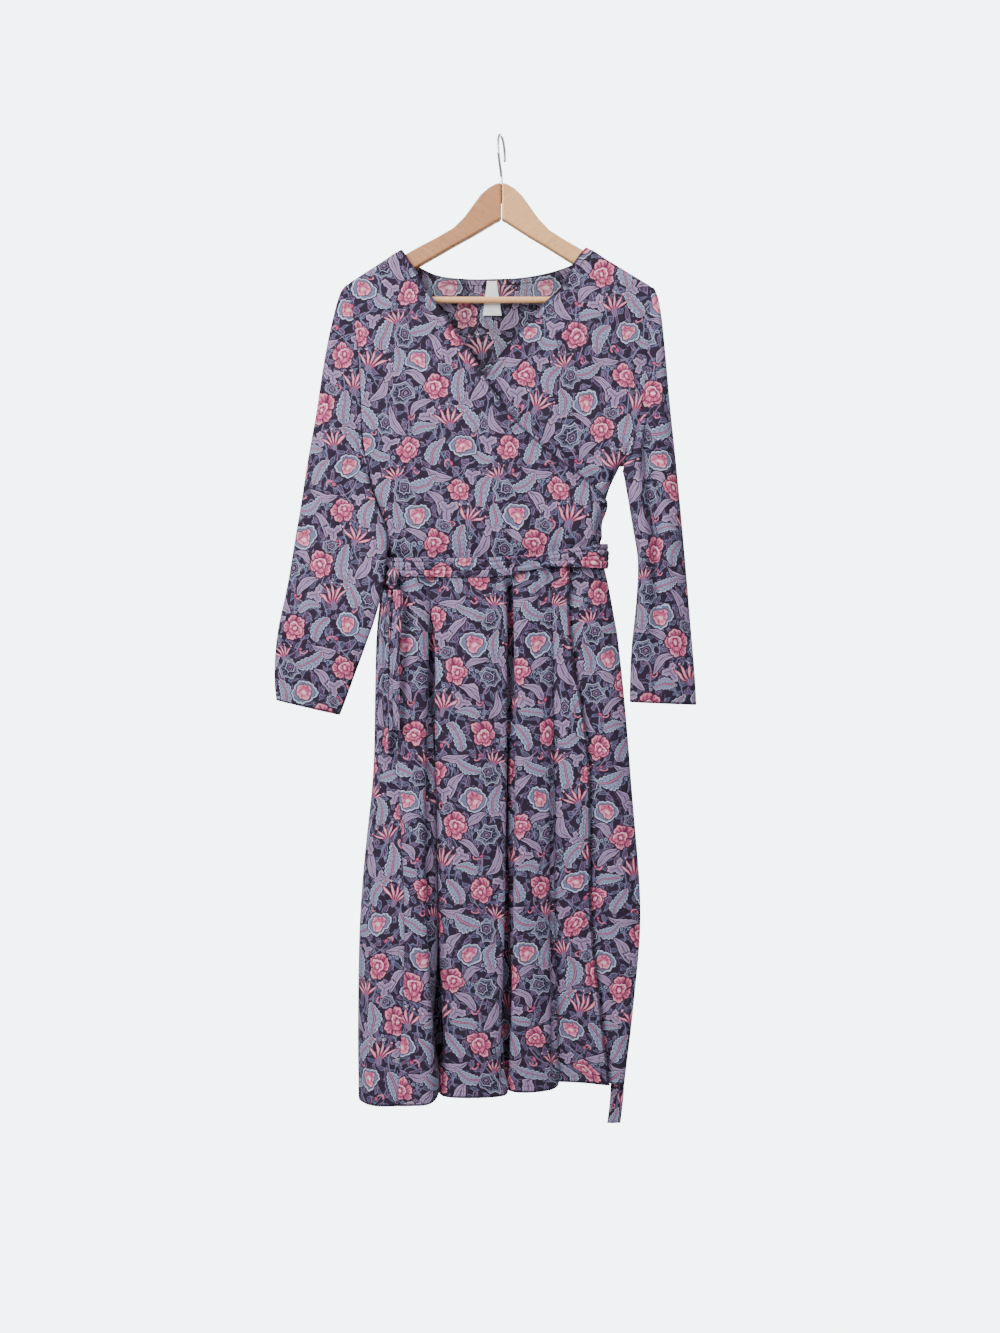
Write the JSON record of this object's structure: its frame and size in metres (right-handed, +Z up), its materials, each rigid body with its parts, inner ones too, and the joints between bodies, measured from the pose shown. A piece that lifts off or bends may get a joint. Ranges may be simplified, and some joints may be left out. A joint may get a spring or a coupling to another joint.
{
  "type": "wrap dress on a wooden hanger",
  "caption": "Long-sleeved wrap dress with a V neck, tied belt and softly pleated midi skirt, hung on a wooden hanger with a trouser bar and a wire hook.",
  "frame": {"origin": "inside top of the hook, where it rests on the rail", "axes": "+Z up, -Y towards the dress's front, +X to the viewer's right, which is the wearer's left"},
  "size_m": [0.5967, 0.1091, 1.4144],
  "materials": {
    "printed_cloth": "matt woven cotton with an all-over flower and leaf print on a dark aubergine ground",
    "label_tape": "plain white cotton tape",
    "beech_dark": "clear satin varnish over tan beech",
    "beech_light": "clear satin varnish over light beech",
    "beech_bar": "clear satin varnish over turned beech",
    "hook_steel": "bright nickel-plated steel wire"
  },
  "bodies": {
    "root": {"bodice_front_over": "printed_cloth", "bodice_front_under": "printed_cloth", "bodice_back": "printed_cloth", "sleeve_left": "printed_cloth", "sleeve_right": "printed_cloth", "skirt_front_under": "printed_cloth", "skirt_back": "printed_cloth", "skirt_front_over": "printed_cloth", "belt_band": "printed_cloth", "belt_knot": "printed_cloth", "belt_tail_long": "printed_cloth", "belt_tail_short": "printed_cloth", "belt_tail_back": "printed_cloth", "neck_label": "label_tape", "hanger_arm_left": "beech_dark", "hanger_arm_right": "beech_light", "hanger_bar": "beech_bar", "hanger_hook": "hook_steel"}
  },
  "joints": []
}
